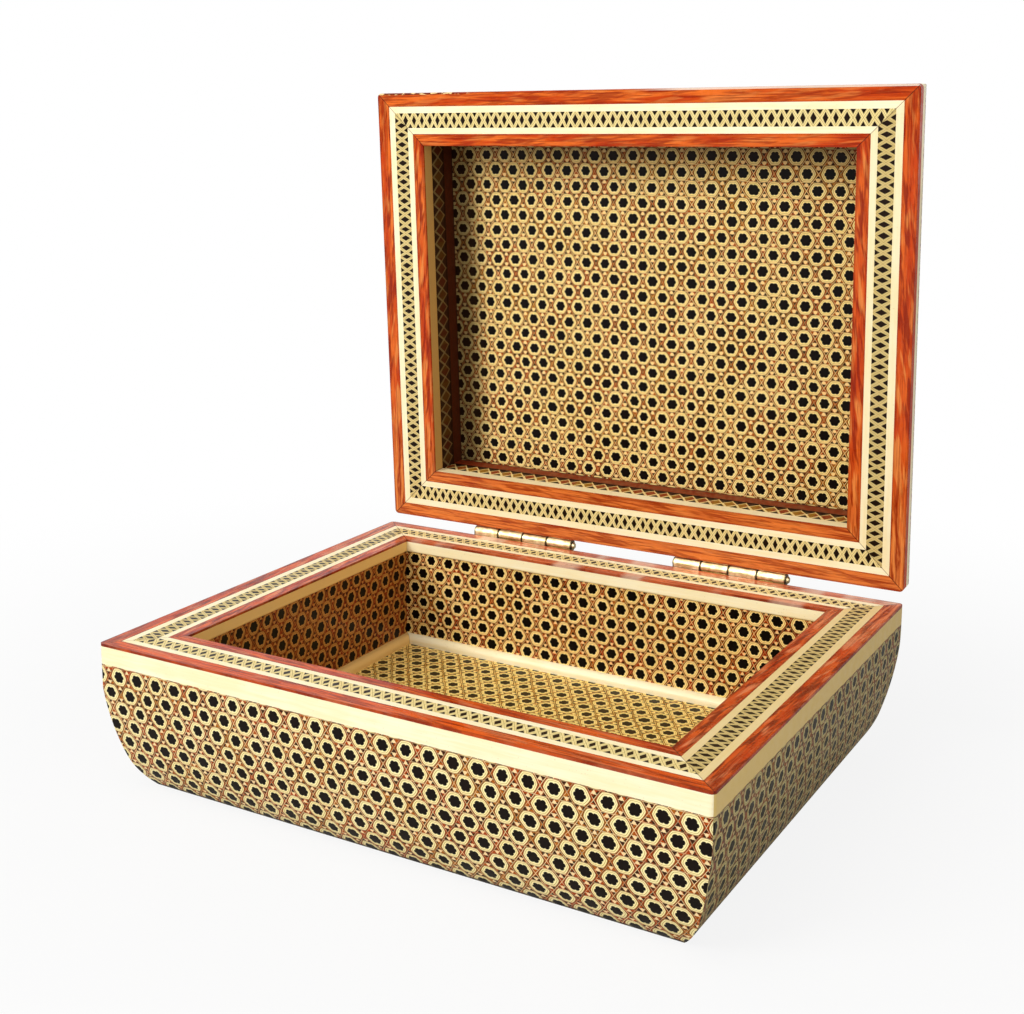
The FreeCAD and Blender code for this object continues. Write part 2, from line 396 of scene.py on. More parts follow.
class Group(Graph):
    """A node group with named inputs and outputs."""

    def __init__(self, name: str, inputs: Sequence[str], outputs: Sequence[str]) -> None:
        """Makes an empty group.

        Args:
            name: Its name.
            inputs: Input names; all are numbers but Vector and Color.
            outputs: Output names, in the same way.
        """
        super().__init__(bpy.data.node_groups.new(name, "ShaderNodeTree"))
        for way, labels in (("INPUT", inputs), ("OUTPUT", outputs)):
            for label in labels:
                kind = label if label in ("Vector", "Color") else "Float"
                self.tree.interface.new_socket(label, in_out=way, socket_type="NodeSocket" + kind)
        self.entry = self.node("NodeGroupInput")
        self.exit = self.node("NodeGroupOutput")

    def given(self, label: str) -> Socket:
        """Gives an input.

        Args:
            label: Its name.

        Returns:
            The socket.
        """
        return self.entry.outputs[label]

    def give(self, **results: Value) -> Tree:
        """Sets the outputs.

        Args:
            **results: Output names and their values.

        Returns:
            The finished group.
        """
        for label, value in results.items():
            self.feed(self.exit.inputs[label], value)
        return self.tree


class Library:
    """The shared node groups."""

    def __init__(self) -> None:
        """Builds every group."""
        self.sides = self._sides()
        self.curve = self._curve()
        self.khatam = self._khatam(Inlay())
        self.lattice = self._lattice()
        self.zigzag = self._zigzag()
        self.grain = self._grain()
        self.ivory = self._ivory()
        self.wear = self._wear()
        self.polish = self._polish()

    @staticmethod
    def _sides() -> Tree:
        """Coordinates along and in from the nearest side of the outline.

        Returns:
            The group.
        """
        g = Group("sides", ("Vector", "Half X", "Half Y", "Middle"), ("Along", "In", "Turned", "Mitre"))
        x, y, _ = g.split(g.given("Vector"))
        y = g.minus(y, g.given("Middle"))
        in_x = g.minus(g.given("Half X"), g.math("ABSOLUTE", x))
        in_y = g.minus(g.given("Half Y"), g.math("ABSOLUTE", y))
        turned = g.math("LESS_THAN", in_x, in_y)
        gap = g.math("ABSOLUTE", g.minus(in_x, in_y))
        return g.give(
            Along=g.pick(turned, x, y),
            In=g.math("MINIMUM", in_x, in_y),
            Turned=turned,
            Mitre=g.ramp(gap, 0.26, 0.1),
        )

    @staticmethod
    def _curve() -> Tree:
        """Length along a side of an upright part, a wide arc and a tight arc.

        Returns:
            The group.
        """
        names = ("Depth", "Upright", "Radius", "Knee", "Turn", "Foot Radius")
        g = Group("curve", names, ("Length",))
        depth, upright, radius, knee, turn, foot = (g.given(name) for name in names)
        below = g.most(g.minus(g.math("MINIMUM", depth, knee), upright), 0.0)
        first = g.times(radius, g.math("ARCSINE", g.over(below, radius)))
        lower = g.most(g.minus(depth, knee), 0.0)
        reach = g.plus(g.math("SINE", turn), g.over(lower, foot))
        second = g.times(foot, g.minus(g.math("ARCSINE", reach), turn))
        total = g.plus(g.plus(g.math("MINIMUM", depth, upright), first), second)
        return g.give(Length=total)

    @staticmethod
    def _khatam(inlay: Inlay) -> Tree:
        """Hexagon inlay: dark stars in bone rings, with brown pieces between.

        Args:
            inlay: Its colours and pitch.

        Returns:
            The group.
        """
        g = Group("khatam", ("U", "V", "Gold", "Net"), ("Color", "Dark"))
        place = g.combine(g.given("U"), g.given("V"), 0.0)
        waver = g.fill(g.node("ShaderNodeTexNoise"), {"Vector": place, "Scale": 0.11, "Detail": 1.0})
        drift_x, drift_y, _ = g.split(waver.outputs["Color"])
        x = g.over(g.given("U"), inlay.pitch)
        y = g.times(g.given("V"), SLANT / inlay.row)
        x = g.math("MULTIPLY_ADD", g.minus(drift_x, 0.5), 0.2, x)
        y = g.math("MULTIPLY_ADD", g.minus(drift_y, 0.5), 0.15, y)
        spots: List[Tuple[Socket, Socket, Socket]] = []
        for shift_x, shift_y in ((0.0, 0.0), (0.5, SLANT)):
            near_x = g.math("WRAP", g.plus(x, shift_x), 0.5, -0.5)
            near_y = g.math("WRAP", g.plus(y, shift_y), SLANT, -SLANT)
            reach = g.plus(g.times(near_x, near_x), g.times(near_y, near_y))
            spots.append((near_x, near_y, reach))
        nearer = g.math("LESS_THAN", spots[0][2], spots[1][2])
        cell_x = g.pick(nearer, spots[1][0], spots[0][0])
        cell_y = g.pick(nearer, spots[1][1], spots[0][1])
        key = g.combine(
            g.math("ROUND", g.times(g.minus(x, cell_x), 2.0)),
            g.math("ROUND", g.over(g.minus(y, cell_y), SLANT)),
            0.0,
        )
        chance = g.node("ShaderNodeTexWhiteNoise", noise_dimensions="3D")
        g.feed(chance.inputs["Vector"], key)
        luck = chance.outputs["Value"]
        fold_x = g.math("ABSOLUTE", cell_x)
        fold_y = g.math("ABSOLUTE", cell_y)
        slope = g.plus(g.times(fold_x, SLANT), g.times(fold_y, 0.5))
        out = g.most(slope, fold_y)
        upper = g.math("GREATER_THAN", fold_y, slope)
        across = g.math("ABSOLUTE", g.math("MULTIPLY_ADD", fold_y, SLANT, g.times(fold_x, -0.5)))
        across = g.pick(upper, across, fold_x)
        true_x = g.times(fold_x, inlay.pitch)
        true_y = g.times(fold_y, inlay.row / SLANT)
        square = g.math("MULTIPLY_ADD", true_x, true_x, g.times(true_y, true_y))
        facet = g.math("MULTIPLY_ADD", true_x, SLANT, g.times(true_y, 0.5))
        facet = g.times(g.most(facet, true_y), 0.56)
        radius = g.math("MULTIPLY_ADD", g.math("SQRT", square), 0.42, facet)
        edge = g.math("MINIMUM", g.math("MULTIPLY_ADD", across, 5.2, 1.52), 1.78)
        edge = g.math("MULTIPLY_ADD", g.minus(luck, 0.5), 0.14, edge)
        core = g.ramp(g.minus(radius, edge), 0.06, -0.06)
        ring = g.ramp(radius, 2.74, 2.64)
        wire = g.times(g.line(radius, 2.24, 0.09, 0.06), 0.8)
        rim = g.times(g.line(radius, 2.66, 0.07, 0.05), 0.75)
        wire = g.most(wire, rim)
        net = g.given("Net")
        seam = g.line(g.over(g.minus(out, 0.436), net), 0.0, 0.011, 0.006)
        seam = g.times(seam, g.ramp(g.noise(place, 0.07, 1.0), 0.4, 0.6, 0.35, 1.0))
        arms = g.ramp(g.over(across, net), 0.032, 0.014)
        arms = g.times(arms, g.ramp(out, 0.450, 0.470, 0.0, 0.9))
        from_middle = g.minus(out, 0.577)
        spread = g.math("SQRT", g.plus(g.times(from_middle, from_middle), g.times(across, across)))
        dot = g.ramp(g.over(spread, net), 0.082, 0.060)
        patch = g.noise(place, 0.045, 2.0)
        pieces = g.noise(place, 0.55, 1.0)
        fine = g.noise(place, 3.5, 2.0)
        golden = g.plus(g.ramp(patch, 0.42, 0.64, 0.0, 0.55), g.given("Gold"))
        warm = g.mix(golden, inlay.red, inlay.gold)
        deep = g.mix(g.ramp(pieces, 0.46, 0.60), inlay.brown, warm)
        diamond = g.ramp(out, 0.434, 0.424)
        wood = g.mix(g.times(diamond, g.ramp(pieces, 0.56, 0.42, 0.2, 1.0)), deep, warm)
        wood = g.mix(g.ramp(fine, 0.42, 0.62, 0.0, 0.5), wood, inlay.brown)
        shadow = g.times(g.line(radius, 2.86, 0.10, 0.06), 0.5)
        wood = g.mix(shadow, wood, inlay.brown)
        pale = g.most(g.most(arms, dot), seam)
        tint = g.times(g.given("Gold"), 1.8)
        colour = g.mix(g.times(pale, 0.95), wood, g.mix(tint, inlay.blush, inlay.honey))
        bone = g.mix(tint, inlay.bone, inlay.honey)
        bone = g.mix(g.ramp(pieces, 0.45, 0.65, 0.0, 0.25), bone, inlay.blush)
        bone = g.mix(g.times(luck, 0.3), bone, inlay.honey)
        bone = g.mix(wire, bone, inlay.wire)
        colour = g.mix(ring, colour, bone)
        colour = g.mix(core, colour, inlay.core)
        return g.give(Color=colour, Dark=core)

    @staticmethod
    def _lattice() -> Tree:
        """Crossing bone bands with dark rhombs between them.

        Returns:
            The group.
        """
        g = Group("lattice", ("U", "V", "Size"), ("Color", "Dark"))
        place = g.combine(g.given("U"), g.given("V"), 3.0)
        drift = g.minus(g.noise(place, 0.2, 1.0), 0.5)
        along = g.math("MULTIPLY_ADD", drift, 0.35, g.over(g.given("U"), 3.5))
        step = g.math("ABSOLUTE", g.math("WRAP", along, 0.5, -0.5))
        level = g.math("ABSOLUTE", g.minus(g.given("V"), 0.5))
        reach = g.plus(g.times(step, 2.0), g.times(level, 2.0))
        middle = g.plus(g.over(step, 0.28), g.over(level, 0.36))
        side_step = g.minus(0.5, step)
        side_level = g.minus(0.5, level)
        border = g.plus(g.over(side_step, 0.27), g.over(side_level, 0.30))
        nearest = g.over(g.math("MINIMUM", middle, border), g.given("Size"))
        dark = g.ramp(nearest, 1.06, 0.94)
        wires = g.line(reach, 1.0, 0.06, 0.04)
        echo = g.times(g.line(nearest, 1.22, 0.09, 0.09), 0.75)
        pale = g.mix(g.noise(place, 0.5, 2.0), srgb(252, 236, 176), srgb(232, 206, 132))
        colour = g.mix(g.times(wires, 0.85), pale, srgb(170, 148, 84))
        colour = g.mix(echo, colour, srgb(200, 182, 120))
        colour = g.mix(dark, colour, srgb(28, 14, 6))
        return g.give(Color=colour, Dark=dark)

    @staticmethod
    def _zigzag() -> Tree:
        """Dark teeth, a bone zigzag and red-brown half hexagons.

        Returns:
            The group.
        """
        g = Group("zigzag", ("U", "V"), ("Color", "Dark"))
        place = g.combine(g.given("U"), g.given("V"), 7.0)
        drift = g.minus(g.noise(place, 0.15, 1.0), 0.5)
        along = g.math("MULTIPLY_ADD", drift, 0.3, g.over(g.given("U"), 5.0))
        step = g.times(g.math("ABSOLUTE", g.math("WRAP", along, 0.5, -0.5)), 2.0)
        level = g.given("V")
        crest = g.minus(level, g.math("MULTIPLY_ADD", step, 0.30, 0.06))
        dark = g.ramp(crest, 0.0, -0.04)
        bone = g.line(crest, 0.06, 0.05, 0.02)
        wire = g.times(g.line(crest, 0.06, 0.013, 0.01), 0.7)
        back = g.minus(level, g.math("MULTIPLY_ADD", step, -0.26, 0.68))
        bone_back = g.times(g.line(back, 0.0, 0.03, 0.015), 0.85)
        tips = g.ramp(back, 0.02, 0.05)
        patch = g.noise(place, 0.25, 2.0)
        border = g.ramp(level, 0.72, 0.74)
        colour = g.mix(g.ramp(patch, 0.42, 0.58), srgb(132, 48, 12), srgb(146, 100, 24))
        colour = g.mix(tips, colour, srgb(44, 20, 8))
        colour = g.mix(bone_back, colour, srgb(240, 208, 134))
        colour = g.mix(bone, colour, srgb(250, 226, 156))
        colour = g.mix(wire, colour, srgb(156, 128, 60))
        colour = g.mix(dark, colour, srgb(24, 12, 6))
        streaks = g.noise(g.combine(g.times(along, 0.3), level, 2.0), 9.0)
        wood = g.mix(streaks, srgb(150, 54, 20), srgb(72, 22, 8))
        colour = g.mix(border, colour, wood)
        edge = g.most(g.line(level, 0.73, 0.02, 0.01), g.ramp(level, 1.16, 1.2))
        colour = g.mix(g.times(edge, 0.8), colour, srgb(30, 12, 6))
        return g.give(Color=colour, Dark=dark)

    @staticmethod
    def _grain() -> Tree:
        """Streaks that run along a strip of wood.

        Returns:
            The group.
        """
        g = Group("grain", ("Along", "Across", "Seed"), ("Streaks", "Bands"))
        along, across, seed = (g.given(name) for name in ("Along", "Across", "Seed"))
        fine = g.combine(g.times(along, 0.05), g.times(across, 1.3), seed)
        wide = g.combine(g.times(along, 0.03), g.times(across, 0.25), seed)
        streaks = g.ramp(g.noise(fine, 1.1, 4.0, 0.65), 0.44, 0.66)
        bands = g.ramp(g.noise(wide, 1.4, 3.0), 0.38, 0.60)
        return g.give(Streaks=streaks, Bands=bands)

    @staticmethod
    def _ivory() -> Tree:
        """Bone: slow change of tone, faint streaks and small specks.

        Returns:
            The group.
        """
        g = Group("ivory", ("Along", "Across"), ("Tone", "Specks"))
        place = g.combine(g.given("Along"), g.given("Across"), 2.0)
        slow = g.noise(place, 0.05, 3.0)
        streak = g.noise(g.combine(g.times(g.given("Along"), 0.06), g.given("Across"), 5.0), 1.1, 2.0)
        tone = g.ramp(g.math("MULTIPLY_ADD", streak, 0.5, g.times(slow, 0.5)), 0.36, 0.64)
        specks = g.ramp(g.noise(place, 1.6, 1.0), 0.70, 0.78)
        return g.give(Tone=tone, Specks=specks)

    @staticmethod
    def _wear() -> Tree:
        """Worn and dull patches of metal.

        Returns:
            The group.
        """
        g = Group("wear", ("Vector",), ("Patches", "Scratches"))
        patches = g.ramp(g.noise(g.given("Vector"), 0.35, 4.0, 0.6), 0.38, 0.62)
        drawn = g.vector("MULTIPLY", g.given("Vector"), (0.25, 3.0, 3.0))
        scratches = g.ramp(g.noise(drawn, 1.2, 3.0), 0.4, 0.66)
        return g.give(Patches=patches, Scratches=scratches)

    @staticmethod
    def _polish() -> Tree:
        """Relief and gloss of hand-rubbed lacquer.

        Returns:
            The group.
        """
        g = Group("polish", ("Vector", "Relief", "Gloss"), ("Height", "Roughness"))
        waves = g.noise(g.given("Vector"), 0.12, 2.0)
        dents = g.noise(g.given("Vector"), 1.1, 2.0)
        height = g.plus(waves, g.times(dents, 0.15))
        height = g.minus(height, g.times(g.given("Relief"), 0.1))
        smudge_and_glare = g.ramp(g.noise(g.given("Vector"), 0.3, 3.0), 0.35, 0.7, -0.06, 0.12)
        return g.give(Height=height, Roughness=g.plus(g.given("Gloss"), smudge_and_glare))


class Surface(Graph):
    """A material in the making, on one body of the box."""

    def __init__(self, library: Library, name: str, owner: Owner) -> None:
        """Makes the material and its coordinates, in millimetres with the lid shut.

        Args:
            library: The shared groups.
            name: The material's name.
            owner: The body the surface belongs to.
        """
        self.made = bpy.data.materials.new(name)
        self.made.use_nodes = True
        super().__init__(self.made.node_tree)
        self.library = library
        self.owner = owner
        self.shader = self.made.node_tree.nodes["Principled BSDF"]
        where = self.node("ShaderNodeTexCoord").outputs["Object"]
        if owner is Owner.LID:
            turn = self.node("ShaderNodeVectorRotate", rotation_type="X_AXIS")
            hinge = (0.0, HINGE_Y / MM, HINGE_Z / MM)
            self.fill(turn, {"Vector": where, "Center": hinge, "Angle": math.radians(OPEN_ANGLE)})
            where = turn.outputs[0]
        self.where = self.vector("SCALE", where, MM)
        self.right, self.back, self.height = self.split(self.where)
        outline = OUTLINES[owner]
        halves = {"Half X": outline.half_x, "Half Y": outline.half_y}
        sides = self.call(library.sides, Vector=self.where, Middle=outline.middle_y, **halves)
        self.along, self.inward, self.turned, self.mitre = list(sides.outputs)

    def down(self, form: Form) -> Socket:
        """Gives the surface's second coordinate.

        Args:
            form: How the coordinate runs.

        Returns:
            The number.
        """
        if form is Form.RIM:
            return self.inward
        if form is Form.FLAT:
            return self.back
        if self.owner is Owner.BASE:
            depth = self.minus(RIM_HEIGHT, self.height)
        else:
            depth = self.minus(self.height, LID_RIM_HEIGHT)
        if form is Form.WALL:
            return depth
        return self.call(self.library.curve, Depth=depth, **CURVES[form]).outputs["Length"]

    def relieve(self, colour: Socket, lower: Value, gloss: float, strength: float, distance: float) -> None:
        """Joins colour, roughness and relief to the shader.

        Args:
            colour: The surface's colour.
            lower: Mask of what lies a little lower.
            gloss: Its roughness.
            strength: How strongly the relief shows.
            distance: How high the relief is, in metres.
        """
        polish = self.call(self.library.polish, Vector=self.where, Relief=lower, Gloss=gloss)
        bump = self.node("ShaderNodeBump")
        self.fill(bump, {"Strength": strength, "Distance": distance, "Height": polish.outputs["Height"]})
        self.feed(self.shader.inputs["Base Color"], colour)
        self.feed(self.shader.inputs["Roughness"], polish.outputs["Roughness"])
        self.feed(self.shader.inputs["Normal"], bump.outputs["Normal"])

    def finish(self, colour: Socket, lower: Value, lacquer: Lacquer) -> Material:
        """Joins colour, relief and lacquer to the shader.

        Args:
            colour: The surface's colour.
            lower: Mask of what lies a little lower.
            lacquer: Its gloss.

        Returns:
            The finished material.
        """
        self.relieve(colour, lower, lacquer.roughness, lacquer.relief, LACQUER_RELIEF)
        coat = {"Coat Weight": lacquer.coat, "Coat Roughness": lacquer.coat_roughness}
        self.fill(self.shader, {**coat, "Specular IOR Level": lacquer.specular})
        return self.made


class Painter:
    """Makes the box's materials from the shared groups."""

    def __init__(self, library: Library) -> None:
        """Keeps the groups.

        Args:
            library: The shared groups.
        """
        self.library = library

    def inlay(
        self,
        name: str,
        owner: Owner,
        form: Form,
        start: Tuple[float, float],
        gold: float = 0.0,
        painted_light_veil: float = 0.0,
        painted_light_colour: Colour = srgb(232, 196, 116),
        tint: Triple = CLEAR,
        depth: float = 1.0,
        net: float = 1.0,
    ) -> Material:
        """Makes a surface of hexagon inlay.

        Args:
            name: The material's name.
            owner: The body.
            form: How its second coordinate runs.
            start: A ring's centre in the surface's coordinates.
            gold: How far its browns turn to gold.
            painted_light_veil: How far painted light covers it: painted shade with a dull painted
                reflection on a shaded side, a painted sheen on dark pieces elsewhere.
            painted_light_colour: The colour of that painted light.
            tint: A colour that multiplies the pattern's; on a shaded side it also paints the shade.
            depth: How far the varnish deepens the darker woods.
            net: How broad the thin bone pieces between the rings are.

        Returns:
            The material.
        """
        g = Surface(self.library, name, owner)
        along = g.right if form is Form.FLAT else g.along
        down = g.down(form)
        place = {"U": g.minus(along, start[0]), "V": g.minus(down, start[1])}
        pattern = g.call(self.library.khatam, Gold=gold, Net=net, **place)
        colour = pattern.outputs["Color"]
        # Painted light laid over the pattern in cloudy patches, in the veil's colour.
        if painted_light_veil:
            painted_light_patches = g.ramp(g.noise(g.where, 0.03, 2.0), 0.3, 0.7, painted_light_veil * 0.7, painted_light_veil)
            colour = g.mix(painted_light_patches, colour, painted_light_colour)
        if depth > 1.0:
            deepened = g.fill(g.node("ShaderNodeGamma"), {"Color": colour, "Gamma": depth})
            colour = deepened.outputs["Color"]
        if tint != CLEAR:
            colour = g.vector("MULTIPLY", colour, tint)
        if form is Form.BASE_CURVE:
            colour = g.mix(g.ramp(g.height, 1.3, 0.6, 0.0, 0.85), colour, srgb(34, 24, 18))
        # Painted shade on the ceiling along its left wall and along the wall under the rim's top, kept off
        # the top panel.
        if form is Form.FLAT and owner is Owner.LID:
            painted_shade = g.most(g.ramp(along, -66.0, -76.0, 0.0, 0.65), g.ramp(down, -54.0, -60.5, 0.0, 0.5))
            painted_shade = g.times(painted_shade, g.math("LESS_THAN", g.height, CEILING_LIMIT))
            colour = g.mix(painted_shade, colour, srgb(40, 22, 10))
        return g.finish(colour, pattern.outputs["Dark"], Lacquer())

    def strip(
        self,
        name: str,
        owner: Owner,
        tones: Tuple[Colour, Colour, Colour, Colour],
        seed: float,
        edges: Tuple[float, float] = (0.0, 0.0),
        chipped_and_highlit: bool = False,
    ) -> Material:
        """Makes a strip of streaked red wood.

        Args:
            name: The material's name.
            owner: The body.
            tones: Light, middle and dark tone of the wood, and its tone near the hinges.
            seed: Where its grain starts.
            edges: Where its darker edges lie; none when both are the same.
            chipped_and_highlit: Whether its front edge is chipped and worn, darker at its left end, and
                given a painted highlight along its top.

        Returns:
            The material.
        """
        g = Surface(self.library, name, owner)
        down = g.inward
        start = g.plus(g.times(g.turned, 4.0), seed)
        grain = g.call(self.library.grain, Along=g.along, Across=down, Seed=start)
        colour = g.mix(grain.outputs["Bands"], tones[0], tones[1])
        colour = g.mix(g.ramp(g.right, 20.0, 96.0, 0.0, 0.4), colour, tones[1])
        colour = g.mix(g.ramp(g.back, 30.0, 80.0, 0.0, 0.65), colour, tones[3])
        level = g.minus(1.0, g.turned)
        if owner is Owner.BASE:
            vivid = g.times(level, g.ramp(g.back, -76.0, -77.5, 0.0, 0.55))
            colour = g.mix(vivid, colour, srgb(238, 98, 28))
        flame = g.math("MULTIPLY_ADD", down, 0.9, g.times(g.along, 0.22))
        flame = g.combine(flame, down, seed)
        dusky = g.ramp(g.noise(flame, 0.55, 3.0), 0.48, 0.62)
        colour = g.mix(g.times(dusky, g.pick(g.turned, 0.6, 0.85)), colour, tones[2])
        bright = g.ramp(g.noise(flame, 0.4, 2.0), 0.48, 0.36)
        colour = g.mix(g.times(bright, g.pick(g.turned, 0.5, 0.8)), colour, tones[3])
        colour = g.mix(g.times(grain.outputs["Streaks"], 0.8), colour, tones[2])
        if edges[1] > edges[0]:
            low = g.ramp(down, edges[0] + 0.75, edges[0] + 0.1)
            high = g.ramp(down, edges[1] - 0.75, edges[1] - 0.1)
            colour = g.mix(g.times(g.most(low, high), 0.45), colour, tones[2])
        # Painted glare: pale streaks on the base's inner strip at the back, standing in for reflections in
        # the lacquer.
        if owner is Owner.BASE:
            smudge_and_glare = g.noise(g.combine(g.times(g.right, 0.05), 0.0, seed), 1.0, 2.0)
            smudge_and_glare = g.ramp(smudge_and_glare, 0.50, 0.60, 0.0, 0.5)
            smudge_and_glare = g.times(smudge_and_glare, g.times(level, g.ramp(g.back, 61.5, 62.5)))
            colour = g.mix(smudge_and_glare, colour, srgb(240, 220, 196))
        if chipped_and_highlit:
            ahead = g.math("LESS_THAN", g.back, FRONT_EDGE)
            chips = g.noise(g.combine(g.times(g.right, 0.32), g.back, 1.0), 1.0, 2.0)
            chips = g.times(g.ramp(chips, 0.52, 0.56), g.ramp(g.right, -58.0, -66.0))
            chips = g.times(chips, g.times(ahead, g.ramp(down, 1.2, 1.0)))
            # Painted highlight: a pale line along the top of the front edge.
            shine = g.times(g.ramp(g.right, 2.0, 24.0), g.ramp(down, 0.75, 0.5, 0.0, 0.7))
            dusk = g.times(g.ramp(g.right, -60.0, -70.0), g.ramp(down, 1.4, 1.1, 0.0, 0.65))
            colour = g.mix(g.times(dusk, ahead), colour, srgb(74, 34, 22))
            colour = g.mix(chips, colour, srgb(240, 212, 150))
            colour = g.mix(g.times(shine, ahead), colour, srgb(250, 236, 216))
        line = g.times(g.mitre, 0.8)
        colour = g.mix(line, colour, srgb(52, 16, 8))
        return g.finish(colour, line, Lacquer(roughness=0.3, coat=0.2, coat_roughness=0.08))

    def bone(
        self,
        name: str,
        owner: Owner,
        form: Form = Form.RIM,
        olive_shade: float = 0.0,
        mitre: float = 0.55,
        wood_edge: float = 0.0,
        right_shade: float = 0.0,
        left_shade: float = 0.0,
        left_shade_colour: Colour = srgb(236, 190, 108),
    ) -> Material:
        """Makes a strip of bone.

        Args:
            name: The material's name.
            owner: The body.
            form: How its second coordinate runs.
            olive_shade: How far it is darkened to olive-brown, painted shade.
            mitre: How dark its mitre lines are.
            wood_edge: How deep the rim's red wood reaches over it.
            right_shade: How far its right side is darkened to olive-tan, painted shade.
            left_shade: How far its left side is turned to a warm painted shade.
            left_shade_colour: The colour of that painted shade.

        Returns:
            The material.
        """
        g = Surface(self.library, name, owner)
        down = g.down(form)
        ivory = g.call(self.library.ivory, Along=g.along, Across=down)
        # The bone darkens towards olive-brown as painted shade.
        light = tuple(a + (b - a) * olive_shade for a, b in zip(srgb(255, 245, 210), srgb(190, 148, 76)))
        warm = tuple(a + (b - a) * olive_shade for a, b in zip(srgb(252, 236, 188), srgb(150, 114, 56)))
        colour = g.mix(ivory.outputs["Tone"], light, warm)
        colour = g.mix(g.times(ivory.outputs["Specks"], 0.3), colour, srgb(196, 166, 108))
        # Painted shade: the right side turns olive-tan.
        shade_tan = g.times(g.ramp(g.right, 80.0, 84.0, 0.0, right_shade), g.turned)
        colour = g.mix(shade_tan, colour, srgb(214, 180, 100))
        # Painted shade: the left side turns warm and darker.
        west = g.times(g.ramp(g.right, -40.0, -60.0, 0.0, left_shade), g.turned)
        colour = g.mix(west, colour, left_shade_colour)
        if wood_edge:
            grain = g.call(self.library.grain, Along=g.along, Across=down, Seed=3.0)
            wood = g.mix(grain.outputs["Streaks"], LID_WOOD[1], LID_WOOD[2])
            colour = g.mix(g.ramp(down, wood_edge + 0.1, wood_edge - 0.1), colour, wood)
        line = g.times(g.mitre, mitre)
        colour = g.mix(line, colour, srgb(96, 60, 30))
        return g.finish(colour, line, Lacquer(roughness=0.36, coat=0.2))

    def lattice(self, name: str, owner: Owner, size: float) -> Material:
        """Makes the lattice strip of a rim.

        Args:
            name: The material's name.
            owner: The body.
            size: Size of its dark pieces, 1 for the largest.

        Returns:
            The material.
        """
        g = Surface(self.library, name, owner)
        share = g.over(g.minus(g.inward, LATTICE_START), LATTICE_WIDTH)
        broad = g.pick(g.turned, size, max(size, 1.05))
        pattern = g.call(self.library.lattice, U=g.along, V=share, Size=broad)
        # Painted shade: the side courses turn olive-tan, the right one more.
        shade_tan = g.times(g.pick(g.math("GREATER_THAN", g.right, 0.0), 0.22, 0.42), g.turned)
        shade_tan = g.times(shade_tan, g.minus(1.0, pattern.outputs["Dark"]))
        colour = g.mix(shade_tan, pattern.outputs["Color"], srgb(168, 138, 72))
        colour = g.mix(g.times(g.mitre, 0.6), colour, srgb(70, 40, 20))
        return g.finish(colour, pattern.outputs["Dark"], Lacquer())

    def zigzag(self, name: str, owner: Owner) -> Material:
        """Makes the zigzag strip round the lid's recess.

        Args:
            name: The material's name.
            owner: The body.

        Returns:
            The material.
        """
        g = Surface(self.library, name, owner)
        share = g.over(g.minus(g.down(Form.WALL), ZIGZAG_START), ZIGZAG_WIDTH)
        pattern = g.call(self.library.zigzag, U=g.along, V=share)
        # Painted shade on the recess's left side.
        painted_shade = g.times(g.ramp(g.right, -40.0, -60.0, 0.0, 0.8), g.turned)
        colour = g.mix(painted_shade, pattern.outputs["Color"], srgb(48, 24, 10))
        return g.finish(colour, pattern.outputs["Dark"], Lacquer())

    def board(self, name: str, owner: Owner, tones: Tuple[Colour, Colour, Colour]) -> Material:
        """Makes plain wood with its grain along X.

        Args:
            name: The material's name.
            owner: The body.
            tones: Light, middle and dark tone.

        Returns:
            The material.
        """
        g = Surface(self.library, name, owner)
        grain = g.call(self.library.grain, Along=g.right, Across=g.plus(g.back, g.height), Seed=9.0)
        streaks = grain.outputs["Streaks"]
        colour = g.mix(grain.outputs["Bands"], tones[0], tones[1])
        colour = g.mix(g.times(streaks, 0.7), colour, tones[2])
        return g.finish(colour, streaks, Lacquer(roughness=0.5, coat=0.1, coat_roughness=0.3, relief=0.3))

    def brass(self, name: str, owner: Owner, start: float, dulled: float = 0.0) -> Material:
        """Makes worn brass, dark where the knuckles meet.

        Args:
            name: The material's name.
            owner: The body.
            start: Where the hinge's first knuckle begins along the back, in millimetres.
            dulled: How dull it is all over.

        Returns:
            The material.
        """
        g, brass = Surface(self.library, name, owner), Brass()
        wear = g.call(self.library.wear, Vector=g.where)
        scratches = wear.outputs["Scratches"]
        dull = g.math("MULTIPLY_ADD", wear.outputs["Patches"], 0.7, dulled)
        colour = g.mix(dull, brass.bright, brass.dull)
        colour = g.mix(g.times(scratches, 0.3), colour, brass.scratch)
        along = g.over(g.minus(g.right, start), KNUCKLE_PITCH)
        joint = g.times(g.math("ABSOLUTE", g.math("WRAP", along, 0.5, -0.5)), KNUCKLE_PITCH)
        colour = g.mix(g.ramp(joint, 0.6, 0.25, 0.0, 0.85), colour, brass.joint)
        g.relieve(colour, scratches, 0.36, 0.25, BRASS_RELIEF)
        g.feed(g.shader.inputs["Metallic"], 1.0)
        return g.made


@dataclass
class Dressed:
    """A body of the box whose CAD nodes get their materials."""

    painter: Painter
    owner: Owner
    used: List[str] = field(default_factory=list)

    def paint(self, made: Material, *nodes: str) -> None:
        """Puts one material on CAD nodes.

        Args:
            made: The material.
            *nodes: The nodes' names.
        """
        for name in nodes:
            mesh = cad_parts[name].data
            mesh.materials.clear()
            mesh.materials.append(made)
            self.used.append(name)
            LOG.info("%s: %s", name, made.name)

    def rim(self) -> None:
        """Dresses the five courses of the rim."""
        p, body, head = self.painter, self.owner, self.owner.value
        lid = body is Owner.LID
        wood = LID_WOOD if lid else BASE_WOOD
        outer = p.strip(head + " outer strip", body, wood, 1.0, OUTER_STRIP, chipped_and_highlit=lid)
        self.paint(outer, head + "_rim_outer_strip")
        lines = p.bone(head + " lines", body, right_shade=0.15 if lid else 0.6)
        self.paint(lines, head + "_rim_outer_line", head + "_rim_inner_line")
        self.paint(p.lattice(head + " lattice", body, 1.0 if lid else 0.95), head + "_rim_lattice")
        inner = p.strip(head + " inner strip", body, wood, 2.0, INNER_STRIP)
        self.paint(inner, head + "_rim_inner_strip")


